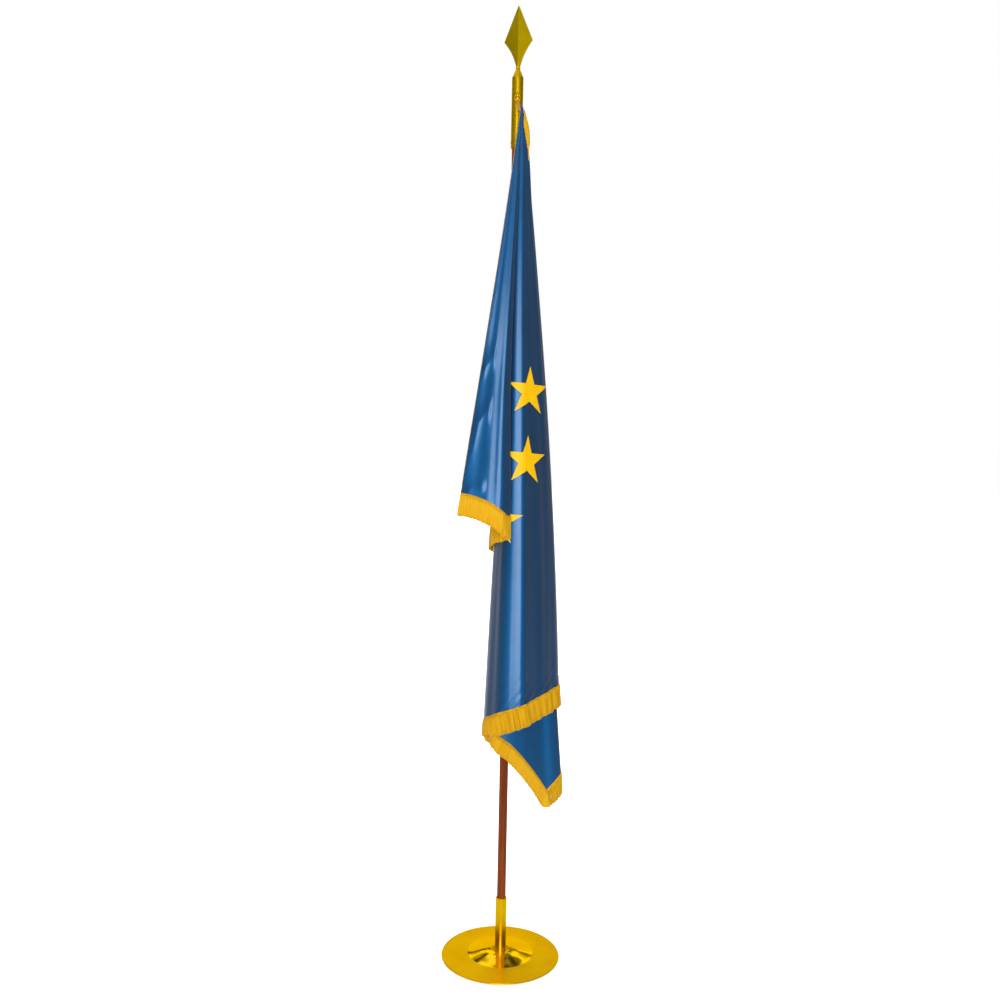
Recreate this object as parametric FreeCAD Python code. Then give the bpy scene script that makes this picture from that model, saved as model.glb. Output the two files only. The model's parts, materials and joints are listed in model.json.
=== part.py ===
import FreeCAD, Part
import math
import os

# Indoor ceremonial flag stand: weighted brass foot, two-section wooden pole, spear finial
# and a fringed flag hung by its upper hoist corner.  Millimetres, +Z up.
# The origin is the centre of the underside, on the floor.  The flag hangs on the -Y side.

# ---- driving dimensions ------------------------------------------------------------------

# foot
base_radius = 150.0
rim_roll_radius = 1.9
rim_roll_height = 3.1
cover_sheet = 1.2
cover_top_height = 19.0
dome_radius = 84.0
dome_foot_height = 8.4
flange_outer_height = 4.7
pad_thickness = 2.4
pad_outer_radius = 143.0
pad_inner_radius = 34.0
ballast_radius = 136.0
ballast_core_radius = 58.0
ballast_core_top = 12.5
ballast_edge_top = 3.6
bolt_recess_radius = 13.0
bolt_recess_top = 8.2

# socket
tube_outer_radius = 14.0
tube_bore_radius = 11.5
tube_bottom = 12.6
tube_top = 153.0
plug_top = 24.0
seat_pad_bottom = 24.1
seat_pad_top = 27.0
anchor_thread_radius = 5.0

# pole
pole_radius = 11.0
pole_bottom = 27.1
joint_height = 1105.0
joint_washer_thickness = 1.5
joint_ferrule_radius = 12.2
joint_ferrule_length = 42.0
joint_tenon_radius = 9.8
joint_tenon_length = 22.0
joint_pin_inset = 8.0
spigot_radius = 5.0
spigot_engagement = 32.0
spigot_bevel = 1.0
pole_top = 2168.0
pole_foot_bevel = 2.0
pin_radius = 1.0
pin_head_radius = 2.2
pin_length = 6.0

# top ferrule and finial
ferrule_radius = 14.0
ferrule_bottom = 2030.0
ferrule_top = 2199.0
ferrule_cap_bottom = 2170.0
ferrule_pin_inset = 14.0
collar_top = 2219.0
collar_top_radius = 5.4
finial_thread_radius = 4.0
finial_engagement = 15.0
finial_stud_reach = 13.0
spear_tip_height = 2370.0
spear_widest_height = 2286.0
spear_neck_top = 2229.0
spear_neck_radius = 4.9
spear_half_width = 36.0
spear_half_thickness = 4.6
spear_edge_half_thickness = 1.0
spear_turn = -17.5

# flag
hook_height = 2150.0
hook_wire_radius = 1.8
hook_reach = 25.0
ring_radius = 7.0
ring_wire_radius = 1.2
ring_offset = 19.0
apex_height = 2134.0
cloth_wall = 5.0
fringe_length = 50.0
fringe_thickness = 5.0
soft_gap = 0.6
star_radius = 62.0
star_thickness = 0.8

# clearances
thread_gap = 0.08
slip_gap = 0.05

UP = FreeCAD.Vector(0, 0, 1)
AXIS = FreeCAD.Vector(0, 0, 0)


# ---- helpers -----------------------------------------------------------------------------

def vec(x, y, z):
    return FreeCAD.Vector(x, y, z)


def rod(radius, low, high, x=0.0, y=0.0):
    """Upright cylinder from one height to another."""
    return Part.makeCylinder(radius, high - low, vec(x, y, low), UP)


def sleeve(outer, inner, low, high):
    """Upright tube, its bore running past both ends."""
    return rod(outer, low, high).cut(rod(inner, low - 1.0, high + 1.0))


def turned(points):
    """Solid of revolution about Z from a closed outline of (radius, height) points."""
    corners = [vec(r, 0, z) for r, z in points]
    wire = Part.makePolygon(corners + corners[:1])
    return Part.Face(wire).revolve(AXIS, UP, 360)


def slab(points, y_low, y_high):
    """Upright slab: an outline of (x, z) points given thickness along Y."""
    corners = [vec(x, y_low, z) for x, z in points]
    wire = Part.makePolygon(corners + corners[:1])
    return Part.Face(wire).extrude(vec(0, y_high - y_low, 0))


def ellipse_wire(centre_x, centre_y, half_x, half_y, height):
    """Level ellipse; its long axis is put along X or Y as the sizes need."""
    if half_x >= half_y:
        curve = Part.Ellipse(vec(0, 0, 0), half_x, half_y)
        angle = 0.0
    else:
        curve = Part.Ellipse(vec(0, 0, 0), half_y, half_x)
        angle = 90.0
    wire = Part.Wire([curve.toShape()])
    wire.rotate(AXIS, UP, angle)
    wire.translate(vec(centre_x, centre_y, height))
    return wire


def draped_cone(sections, inset=0.0):
    """Loft through level ellipses (height, centre x, centre y, half x, half y)."""
    wires = []
    for height, centre_x, centre_y, half_x, half_y in sections:
        wires.append(ellipse_wire(centre_x, centre_y, half_x - inset, half_y - inset, height))
    return Part.makeLoft(wires, True, False)


def round_head_pin(radius, head_radius, length, height, sleeve_radius, angle):
    """Nail driven level into a sleeve of the given radius, its domed head outside."""
    root = 0.5
    shank = Part.makeCylinder(radius, length + root, vec(sleeve_radius - length, 0, height), vec(1, 0, 0))
    head = Part.makeSphere(head_radius, vec(sleeve_radius - 0.4 * head_radius, 0, height))
    outside = Part.makeBox(20, 20, 20, vec(sleeve_radius + 0.02, -10, height - 10))
    shape = shank.fuse(head.common(outside))
    shape.rotate(AXIS, UP, angle)
    return shape


def write(name, shape):
    shape.exportStep(os.path.join("parts", name + ".step"))


# ---- foot --------------------------------------------------------------------------------

def cover_outline(inset):
    """Ogee section of the spun cover, from the tube hole out to the rim."""
    hole = tube_outer_radius + slip_gap
    points = [
        vec(hole, 0, cover_top_height - inset),
        vec(38.0, 0, cover_top_height - 1.3 - inset),
        vec(62.0, 0, cover_top_height - 5.6 - inset),
        vec(dome_radius, 0, dome_foot_height + 0.9 - inset),
        vec(108.0, 0, dome_foot_height - 1.6 - inset),
        vec(base_radius - rim_roll_radius, 0, flange_outer_height - inset),
    ]
    curve = Part.BSplineCurve()
    curve.interpolate(points)
    return curve, points[0], points[-1]


def base_cover():
    """Spun brass dish: shallow dome, wide flange and a rolled rim."""
    outer, outer_start, outer_end = cover_outline(0.0)
    inner, inner_start, inner_end = cover_outline(cover_sheet)
    edges = [
        outer.toShape(),
        Part.makeLine(outer_end, inner_end),
        inner.toShape(),
        Part.makeLine(inner_start, outer_start),
    ]
    sheet = Part.Face(Part.Wire(Part.__sortEdges__(edges))).revolve(AXIS, UP, 360)
    roll = Part.makeTorus(base_radius - rim_roll_radius, rim_roll_radius, vec(0, 0, rim_roll_height))
    return sheet.fuse(roll).removeSplitter()


def ballast_weight():
    """Cast disc under the cover, bored for the anchor bolt and recessed for its head."""
    disc = turned([
        (anchor_thread_radius + 0.5, pad_thickness),
        (ballast_radius, pad_thickness),
        (ballast_radius, ballast_edge_top),
        (dome_radius + 8.0, ballast_edge_top + 2.0),
        (ballast_core_radius, ballast_core_top - 2.0),
        (24.0, ballast_core_top),
        (anchor_thread_radius + 0.5, ballast_core_top),
    ])
    return disc.cut(rod(bolt_recess_radius, 0, bolt_recess_top))


def floor_pad():
    """Ring of rubber sheet glued under the ballast; the stand rests on it."""
    return sleeve(pad_outer_radius, pad_inner_radius, 0, pad_thickness)


def socket_tube():
    """Plain brass tube that holds the pole."""
    tube = sleeve(tube_outer_radius, tube_bore_radius, tube_bottom, tube_top)
    lip = tube.Edges[0]
    for edge in tube.Edges:
        if abs(edge.BoundBox.ZMin - tube_top) < 0.01 and edge.BoundBox.XMax > tube_outer_radius - 0.1:
            lip = edge
    return tube.makeChamfer(0.8, [lip])


def socket_plug():
    """Threaded steel plug pressed into the foot of the tube."""
    plug = rod(tube_bore_radius - 0.02, tube_bottom, plug_top)
    return plug.cut(rod(anchor_thread_radius + thread_gap, tube_bottom - 1, plug_top - 2.0))


def anchor_bolt():
    """Hexagon bolt up through the ballast into the plug."""
    head_height = 3.4
    head_bottom = bolt_recess_top - 1.6 - head_height
    corners = []
    for step in range(6):
        angle = math.radians(60 * step)
        corners.append(vec(9.2 * math.cos(angle), 9.2 * math.sin(angle), head_bottom))
    head = Part.Face(Part.makePolygon(corners + corners[:1])).extrude(vec(0, 0, head_height))
    return head.fuse(rod(anchor_thread_radius, head_bottom + 1.0, plug_top - 3.0))


def anchor_washer():
    return sleeve(12.0, anchor_thread_radius + 0.3, bolt_recess_top - 1.6, bolt_recess_top)


def seat_pad():
    """Felt disc in the socket that the pole stands and turns on."""
    return rod(tube_bore_radius - 0.5, seat_pad_bottom, seat_pad_top)


# ---- pole --------------------------------------------------------------------------------

def pole_lower():
    """Lower wooden section, with a tenon and a spigot clearance hole at its top."""
    shoulder = joint_height - joint_ferrule_length
    tenon_top = shoulder + joint_tenon_length
    body = rod(pole_radius, pole_bottom, shoulder)
    body = body.fuse(rod(joint_tenon_radius, shoulder, tenon_top)).removeSplitter()
    narrow = pole_radius - pole_foot_bevel
    bevel = Part.makeCone(narrow, pole_radius, pole_foot_bevel, vec(0, 0, pole_bottom), UP)
    outside = rod(pole_radius + 1.0, pole_bottom, pole_bottom + pole_foot_bevel)
    body = body.cut(outside.cut(bevel))
    return body.cut(rod(spigot_radius + 1.0, shoulder - 10.0, tenon_top + 1.0))


def joint_socket():
    """Lower brass ferrule with the bore that the spigot pushes into."""
    low = joint_height - joint_ferrule_length
    body = rod(joint_ferrule_radius, low, joint_height)
    body = body.cut(rod(joint_tenon_radius + 0.02, low - 1.0, low + joint_tenon_length))
    return body.cut(rod(spigot_radius + slip_gap, low, joint_height + 1.0))


def joint_washer():
    """Fibre washer between the two ferrules."""
    return sleeve(
        joint_ferrule_radius - 0.3,
        spigot_radius + 0.4,
        joint_height + 0.02,
        joint_height + joint_washer_thickness - 0.02,
    )


def joint_sleeve():
    """Upper brass ferrule that carries the spigot."""
    low = joint_height + joint_washer_thickness
    high = low + joint_ferrule_length
    body = rod(joint_ferrule_radius, low, high)
    body = body.cut(rod(joint_tenon_radius + 0.02, high - joint_tenon_length, high + 1.0))
    return body.cut(rod(spigot_radius, low - 1.0, high - joint_tenon_length + 1.0))


def joint_spigot():
    """Plain steel spigot fixed in the upper ferrule; it pushes into the lower one."""
    high = joint_height + joint_washer_thickness + joint_ferrule_length - joint_tenon_length
    low = joint_height - spigot_engagement
    spigot = rod(spigot_radius, low + spigot_bevel, high)
    tip = Part.makeCone(spigot_radius - spigot_bevel, spigot_radius, spigot_bevel, vec(0, 0, low), UP)
    return spigot.fuse(tip)


def pole_upper():
    """Upper wooden section, its head inside the top ferrule."""
    shoulder = joint_height + joint_washer_thickness + joint_ferrule_length
    tenon_bottom = shoulder - joint_tenon_length
    body = rod(pole_radius, shoulder, pole_top)
    return body.fuse(rod(joint_tenon_radius, tenon_bottom, shoulder)).removeSplitter()


def pin_pair(height, sleeve_radius):
    """Two nails, on opposite sides, through a ferrule into the wood."""
    pins = []
    for angle in (0, 180):
        pins.append(
            round_head_pin(pin_radius, pin_head_radius, pin_length, height, sleeve_radius, angle)
        )
    return Part.makeCompound(pins)


# ---- top ferrule and finial --------------------------------------------------------------

def top_ferrule():
    """Long brass ferrule on the pole's head with a threaded cap and the hook's hole."""
    body = rod(ferrule_radius, ferrule_bottom, ferrule_top)
    body = body.cut(rod(pole_radius + slip_gap, ferrule_bottom - 1.0, ferrule_cap_bottom))
    return body.cut(rod(finial_thread_radius + thread_gap, ferrule_cap_bottom, ferrule_top + 1.0))


def finial_collar():
    """Loose conical collar between the ferrule and the spear."""
    cone = Part.makeCone(
        ferrule_radius,
        collar_top_radius,
        collar_top - ferrule_top - 0.1,
        vec(0, 0, ferrule_top + 0.05),
        UP,
    )
    return cone.cut(rod(finial_thread_radius + 0.3, ferrule_top - 1.0, collar_top + 1.0))


def finial_stud():
    """Threaded stud fixed in the spear's neck."""
    return rod(finial_thread_radius, ferrule_top - finial_engagement, collar_top + finial_stud_reach)


def spear_finial():
    """Flat spear head with straight upper edges, hollowed lower edges and a central ridge."""
    tip = vec(0, 0, spear_tip_height)
    corner = spear_half_width
    neck = spear_neck_radius
    bow_x = 0.42 * corner
    bow_z = spear_neck_top + 0.46 * (spear_widest_height - spear_neck_top)
    right_corner = vec(corner, 0, spear_widest_height)
    left_corner = vec(-corner, 0, spear_widest_height)
    right_neck = vec(neck, 0, spear_neck_top)
    left_neck = vec(-neck, 0, spear_neck_top)
    outline = Part.Wire([
        Part.makeLine(tip, right_corner),
        Part.Arc(right_corner, vec(bow_x, 0, bow_z), right_neck).toShape(),
        Part.makeLine(right_neck, left_neck),
        Part.Arc(left_neck, vec(-bow_x, 0, bow_z), left_corner).toShape(),
        Part.makeLine(left_corner, tip),
    ])
    blade = Part.Face(outline).extrude(vec(0, 20, 0))
    blade.translate(vec(0, -10, 0))
    section = [
        vec(-corner - 2.0, 0.0, spear_neck_top),
        vec(-corner, -spear_edge_half_thickness, spear_neck_top),
        vec(0, -spear_half_thickness, spear_neck_top),
        vec(corner, -spear_edge_half_thickness, spear_neck_top),
        vec(corner + 2.0, 0.0, spear_neck_top),
        vec(corner, spear_edge_half_thickness, spear_neck_top),
        vec(0, spear_half_thickness, spear_neck_top),
        vec(-corner, spear_edge_half_thickness, spear_neck_top),
    ]
    bevels = Part.Face(Part.makePolygon(section + section[:1]))
    bevels = bevels.extrude(vec(0, 0, spear_tip_height - spear_neck_top + 1.0))
    neck_rod = rod(neck, collar_top, spear_neck_top + 6.0)
    knob_height = 0.5 * (collar_top + spear_neck_top)
    knob = Part.makeTorus(neck - 0.6, 1.6, vec(0, 0, knob_height))
    shape = blade.common(bevels).fuse(neck_rod).fuse(knob)
    shape = shape.cut(rod(finial_thread_radius, collar_top - 1.0, collar_top + finial_stud_reach))
    shape.rotate(AXIS, UP, spear_turn)
    return shape


# ---- flag --------------------------------------------------------------------------------

def flag_hook():
    """Wire hook fixed in the front of the top ferrule."""
    bend = 4.0
    front = -hook_reach
    path = Part.Wire([
        Part.makeLine(vec(0, -ferrule_radius - 0.02, hook_height), vec(0, front + bend, hook_height)),
        Part.Arc(
            vec(0, front + bend, hook_height),
            vec(0, front + bend * (1 - math.sin(math.pi / 4)), hook_height + bend * (1 - math.cos(math.pi / 4))),
            vec(0, front, hook_height + bend),
        ).toShape(),
        Part.makeLine(vec(0, front, hook_height + bend), vec(0, front, hook_height + bend + 5.0)),
    ])
    start = Part.makeCircle(hook_wire_radius, vec(0, -ferrule_radius - 0.02, hook_height), vec(0, -1, 0))
    return path.makePipeShell([Part.Wire(start)], True, False)


def flag_ring():
    """Brass ring on the hook, sewn to the upper hoist corner."""
    centre = hook_height - ring_radius + ring_wire_radius + hook_wire_radius + 0.1
    return Part.makeTorus(ring_radius, ring_wire_radius, vec(0, -ring_offset, centre), vec(0, 1, 0))


def corner_tab():
    """Webbing tab looped through the ring and sewn to the cloth below it."""
    ring_centre = hook_height - ring_radius + ring_wire_radius + hook_wire_radius + 0.1
    ring_low = ring_centre - ring_radius
    half_loop = ring_wire_radius + 0.4
    strap = 1.4
    width = 7.0
    loop = Part.makeCylinder(half_loop + strap, width, vec(-width / 2, -ring_offset, ring_low), vec(1, 0, 0))
    tail = Part.makeBox(
        width,
        2 * (half_loop + strap),
        ring_low - apex_height - soft_gap,
        vec(-width / 2, -ring_offset - half_loop - strap, apex_height + soft_gap),
    )
    hole = Part.makeCylinder(half_loop, width + 2, vec(-width / 2 - 1, -ring_offset, ring_low), vec(1, 0, 0))
    return loop.fuse(tail).cut(hole).cut(flag_ring_clearance(ring_centre))


def flag_ring_clearance(ring_centre):
    return Part.makeTorus(
        ring_radius, ring_wire_radius + 0.3, vec(0, -ring_offset, ring_centre), vec(0, 1, 0)
    )


# level sections of the hanging cloth: height, centre x, centre y, half x, half y
MAIN_SECTIONS = [
    (apex_height, 6.0, -25.0, 11.0, 6.5),
    (1900.0, 14.0, -38.0, 27.0, 19.0),
    (1630.0, 28.0, -42.0, 42.0, 32.0),
    (1130.0, 38.0, -46.0, 70.0, 52.0),
    (680.0, 42.0, -50.0, 92.0, 64.0),
    (560.0, 42.0, -50.0, 95.0, 65.0),
]
LOBE_SECTIONS = [
    (apex_height - 60.0, 3.0, -36.0, 12.0, 7.0),
    (1900.0, -4.0, -58.0, 20.0, 9.0),
    (1630.0, -25.0, -80.0, 36.0, 11.0),
    (1175.0, -54.0, -108.0, 66.0, 16.0),
    (1040.0, -64.0, -116.0, 76.0, 18.0),
]
LOBE_EDGE = [(-140.0, 1190.0), (20.0, 1118.0)]
FLY_EDGE = [(-70.0, 628.0), (0.0, 640.0), (70.0, 664.0), (160.0, 716.0)]
TAIL_OUTLINE = [(12.0, 760.0), (12.0, 586.0), (104.0, 452.0), (118.0, 452.0), (138.0, 480.0), (128.0, 760.0)]

# fringe outlines in (x, height): under the lobe, and round the lowest fly corner
LOBE_FRINGE = [
    (-135.0, 1200.0),
    (14.0, 1200.0),
    (14.0, 1062.0),
    (-36.0, 1042.0),
    (-36.0, 1074.0),
    (-100.0, 1128.0),
    (-135.0, 1150.0),
]
CORNER_FRINGE = [
    (12.0, 585.4),
    (103.7, 451.4),
    (118.3, 451.4),
    (138.0, 479.4),
    (141.0, 446.0),
    (124.0, 408.0),
    (102.0, 406.0),
    (92.0, 414.0),
    (-6.0, 560.0),
    (-14.0, 585.4),
]

# star centres and faces: x, height, front, turn
STAR_PLACES = [(44.0, 1430.0, -90.0, -4.0), (42.0, 1262.0, -99.0, -4.0)]
STAR_NARROWING = 0.78


def below(edge, drop, y_low=-200.0, y_high=100.0):
    """Everything under a slanted edge of (x, z) points, lowered by the given drop."""
    points = [(x, z - drop) for x, z in edge]
    points.append((edge[-1][0], 0.0))
    points.append((edge[0][0], 0.0))
    return slab(points, y_low, y_high)


def pole_groove():
    """Room for the pole and the top ferrule at the back of the cloth."""
    width = pole_radius + 3.0
    shaft = rod(width, 300.0, apex_height + 50.0)
    slot = Part.makeBox(2 * width, 120.0, apex_height - 250.0, vec(-width, 0, 300.0))
    ferrule_room = rod(ferrule_radius + 1.5, ferrule_bottom - 5.0, apex_height + 50.0)
    return shaft.fuse(slot).fuse(ferrule_room)


def cloth_tail():
    """Fly corner of the cloth, hanging below the fly edge on the far side."""
    return slab(TAIL_OUTLINE, -34.0, -27.0)


def flag_cloth():
    """Hanging cloth: main body round a sealed cavity, front lobe and far fly corner in one solid."""
    main = draped_cone(MAIN_SECTIONS).cut(below(FLY_EDGE, 0.0))
    room_depth = 200.0
    room_back = -(pole_radius + 3.0) - cloth_wall
    room = Part.makeBox(400.0, room_depth, 2000.0, vec(-200.0, room_back - room_depth, 300.0))
    hollow = draped_cone(MAIN_SECTIONS[1:], cloth_wall).common(room).cut(below(FLY_EDGE, -cloth_wall))
    lobe = draped_cone(LOBE_SECTIONS).cut(below(LOBE_EDGE, 0.0))
    shape = main.cut(hollow).fuse(lobe).fuse(cloth_tail())
    return shape.cut(pole_groove())


def fringe_bottom():
    """Fringe along the cloth's lower edge, under the front lobe."""
    band = draped_cone(LOBE_SECTIONS).common(below(LOBE_EDGE, soft_gap))
    return band.common(slab(LOBE_FRINGE, -140.0, -90.0)).cut(draped_cone(MAIN_SECTIONS, -soft_gap))


def fringe_fly():
    """Fringe along the fly edge, round the front of the hanging cloth."""
    shell = draped_cone(MAIN_SECTIONS).cut(draped_cone(MAIN_SECTIONS[1:], fringe_thickness))
    band = shell.common(below(FLY_EDGE, soft_gap)).cut(below(FLY_EDGE, soft_gap + fringe_length))
    front = Part.makeBox(400.0, 150.0, 400.0, vec(-200.0, -185.0, 450.0))
    return band.common(front).cut(pole_groove())


def fringe_corner():
    """Fringe round the fly corner that hangs lowest, mitred at its tip."""
    return slab(CORNER_FRINGE, -35.0, -26.0)


def star_plate(centre_x, centre_z, front, turn):
    """Five-pointed star standing just clear of the cloth's front."""
    inner = star_radius * math.sin(math.radians(18)) / math.sin(math.radians(54))
    points = []
    for step in range(10):
        reach = star_radius if step % 2 == 0 else inner
        angle = math.radians(90 + 36 * step + turn)
        points.append((centre_x + STAR_NARROWING * reach * math.cos(angle), centre_z + reach * math.sin(angle)))
    return slab(points, front - star_thickness, front)


def stars():
    """The two star pieces that face the front, clear of the lobe that hangs before them."""
    lobe_room = draped_cone(LOBE_SECTIONS, -soft_gap)
    return Part.makeCompound([star_plate(*place).cut(lobe_room) for place in STAR_PLACES])


# ---- build -------------------------------------------------------------------------------

def main():
    os.makedirs("parts", exist_ok=True)
    sleeve_top = joint_height + joint_washer_thickness + joint_ferrule_length
    lower_pins = pin_pair(joint_height - joint_ferrule_length + joint_pin_inset, joint_ferrule_radius)
    upper_pins = pin_pair(sleeve_top - joint_pin_inset, joint_ferrule_radius)
    ferrule_pins = pin_pair(ferrule_bottom + ferrule_pin_inset, ferrule_radius)

    write("base_cover", base_cover())
    write("ballast_weight", ballast_weight())
    write("floor_pad", floor_pad())
    write("socket_tube", socket_tube())
    write("socket_plug", socket_plug())
    write("anchor_bolt", anchor_bolt())
    write("anchor_washer", anchor_washer())
    write("seat_pad", seat_pad())

    write("pole_lower", pole_lower().cut(lower_pins))
    write("joint_socket", joint_socket().cut(lower_pins))
    write("lower_joint_pins", lower_pins)
    write("joint_washer", joint_washer())
    write("joint_sleeve", joint_sleeve().cut(upper_pins))
    write("upper_joint_pins", upper_pins)
    write("joint_spigot", joint_spigot())
    write("pole_upper", pole_upper().cut(upper_pins).cut(ferrule_pins))

    write("top_ferrule", top_ferrule().cut(ferrule_pins))
    write("ferrule_pins", ferrule_pins)
    write("finial_collar", finial_collar())
    write("finial_stud", finial_stud())
    write("spear_finial", spear_finial())

    write("flag_hook", flag_hook())
    write("flag_ring", flag_ring())
    write("corner_tab", corner_tab())
    write("flag_cloth", flag_cloth())
    write("fringe_bottom", fringe_bottom())
    write("fringe_fly", fringe_fly())
    write("fringe_corner", fringe_corner())
    write("stars", stars())


main()
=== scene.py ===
import json
import math

import bpy
import numpy as np
from mathutils import Matrix, Vector


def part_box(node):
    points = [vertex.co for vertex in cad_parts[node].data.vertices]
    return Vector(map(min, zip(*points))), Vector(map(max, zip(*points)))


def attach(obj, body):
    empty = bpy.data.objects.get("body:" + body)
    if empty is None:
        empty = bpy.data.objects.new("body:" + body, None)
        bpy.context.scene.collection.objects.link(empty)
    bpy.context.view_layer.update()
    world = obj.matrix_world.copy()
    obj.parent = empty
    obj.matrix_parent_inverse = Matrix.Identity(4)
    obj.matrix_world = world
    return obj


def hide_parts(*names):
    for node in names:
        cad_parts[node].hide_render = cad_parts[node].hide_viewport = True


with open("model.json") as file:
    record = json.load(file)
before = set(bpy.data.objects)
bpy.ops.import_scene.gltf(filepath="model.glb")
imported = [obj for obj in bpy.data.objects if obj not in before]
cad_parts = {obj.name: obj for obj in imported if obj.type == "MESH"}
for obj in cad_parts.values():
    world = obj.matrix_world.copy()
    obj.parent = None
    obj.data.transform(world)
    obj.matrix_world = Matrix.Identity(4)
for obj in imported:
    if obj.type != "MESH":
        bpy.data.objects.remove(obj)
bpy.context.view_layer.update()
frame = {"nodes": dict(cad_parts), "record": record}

# Metres, +Z up, the flag hangs on the -Y side.  The flat flag is measured from the corner it
# hangs by: s runs along the fly edge's direction, t runs down the hoist.

scene = bpy.context.scene
rng = np.random.default_rng(7)

# ---- driving sizes -----------------------------------------------------------------------

HOIST = 0.960
FLY = 1.412
CLOTH_THICKNESS = 0.0005
CORNER_ANGLE = math.atan2(FLY, HOIST)

APEX = np.array([0.006, -0.025, 2.134])

FRINGE_LENGTH = 0.050
FRINGE_PITCH = 0.0017
STRAND_RADIUS = 0.00095
BRAID_WIDTH = 0.006

DOME_RADIUS = 0.084

FINIAL_PITCH = 0.00125

STAR_RADIUS = 0.062
STAR_NARROWING = 0.95
STAR_LIFT = 0.0010

COLUMNS = 860
ROWS = 170


# ---- camera ------------------------------------------------------------------------------

CAMERA_PLACE = (0.0, -2.6, 1.331)
CAMERA_LENS = 37.57
CAMERA_PITCH = math.radians(-3.56)
CAMERA_YAW = math.radians(-0.51)
CAMERA_ROLL = math.radians(1.13)


def add_camera():
    """Camera at the photo's viewing angle; its roll gives the pole its slight lean."""
    data = bpy.data.cameras.new("camera")
    data.sensor_width = 36.0
    data.lens = CAMERA_LENS
    data.clip_start = 0.05
    data.clip_end = 60.0
    camera = bpy.data.objects.new("camera", data)
    forward = Vector((
        math.sin(CAMERA_YAW) * math.cos(CAMERA_PITCH),
        math.cos(CAMERA_YAW) * math.cos(CAMERA_PITCH),
        math.sin(CAMERA_PITCH),
    ))
    level = forward.to_track_quat("-Z", "Y").to_matrix().to_4x4()
    roll = Matrix.Rotation(CAMERA_ROLL, 4, "Z")
    camera.matrix_world = Matrix.Translation(CAMERA_PLACE) @ level @ roll
    scene.collection.objects.link(camera)
    scene.camera = camera


# ---- material helpers --------------------------------------------------------------------

class Surface:
    """A node material built round one Principled shader."""

    def __init__(self, name, **sockets):
        """Start from the default shader with some of its sockets set."""
        self.material = bpy.data.materials.new(name)
        self.material.use_nodes = True
        self.tree = self.material.node_tree
        self.shader = self.tree.nodes["Principled BSDF"]
        for socket, value in sockets.items():
            self.shader.inputs[socket.replace("_", " ")].default_value = value

    def node(self, kind, **settings):
        """A new node with some of its settings changed."""
        made = self.tree.nodes.new(kind)
        for key, value in settings.items():
            setattr(made, key, value)
        return made

    def link(self, source, target):
        """Join an output to an input."""
        self.tree.links.new(source, target)

    def feed(self, source, socket):
        """Join an output to one of the shader's sockets."""
        self.link(source, self.shader.inputs[socket])

    def place(self, scale=(1.0, 1.0, 1.0), coordinates="Object"):
        """Texture coordinates in metres, stretched by the given scale."""
        where = self.node("ShaderNodeTexCoord")
        mapping = self.node("ShaderNodeMapping")
        mapping.inputs["Scale"].default_value = scale
        self.link(where.outputs[coordinates], mapping.inputs["Vector"])
        return mapping.outputs["Vector"]

    def noise(self, vector, scale, detail=3.0, roughness=0.5, distortion=0.0):
        """Soft random pattern, 0 to 1."""
        made = self.node("ShaderNodeTexNoise")
        made.inputs["Scale"].default_value = scale
        made.inputs["Detail"].default_value = detail
        made.inputs["Roughness"].default_value = roughness
        made.inputs["Distortion"].default_value = distortion
        self.link(vector, made.inputs["Vector"])
        return made.outputs["Fac"]

    def wave(self, vector, scale, kind="BANDS", direction="X", distortion=0.0):
        """Regular ribs or rings, 0 to 1."""
        made = self.node("ShaderNodeTexWave", wave_type=kind)
        if kind == "BANDS":
            made.bands_direction = direction
        else:
            made.rings_direction = direction
        made.inputs["Scale"].default_value = scale
        made.inputs["Distortion"].default_value = distortion
        self.link(vector, made.inputs["Vector"])
        return made.outputs["Fac"]

    def ramp(self, factor, *stops):
        """Colour ramp through (position, colour) stops."""
        made = self.node("ShaderNodeValToRGB")
        elements = made.color_ramp.elements
        while len(elements) < len(stops):
            elements.new(0.5)
        for element, (position, colour) in zip(elements, stops):
            element.position = position
            element.color = (*colour, 1.0)
        self.link(factor, made.inputs["Fac"])
        return made.outputs["Color"]

    def spread(self, factor, low, high):
        """The factor's 0 to 1 laid between two values."""
        made = self.node("ShaderNodeMapRange")
        made.inputs["To Min"].default_value = low
        made.inputs["To Max"].default_value = high
        self.link(factor, made.inputs["Value"])
        return made.outputs["Result"]

    def total(self, first, second):
        """Sum of two values."""
        made = self.node("ShaderNodeMath", operation="ADD")
        self.link(first, made.inputs[0])
        self.link(second, made.inputs[1])
        return made.outputs["Value"]

    def bump(self, height, strength, distance, base=None):
        """Surface relief from a height pattern, on top of another relief if given."""
        made = self.node("ShaderNodeBump")
        made.inputs["Strength"].default_value = strength
        made.inputs["Distance"].default_value = distance
        self.link(height, made.inputs["Height"])
        if base is not None:
            self.link(base, made.inputs["Normal"])
        return made.outputs["Normal"]


# ---- materials ---------------------------------------------------------------------------

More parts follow.
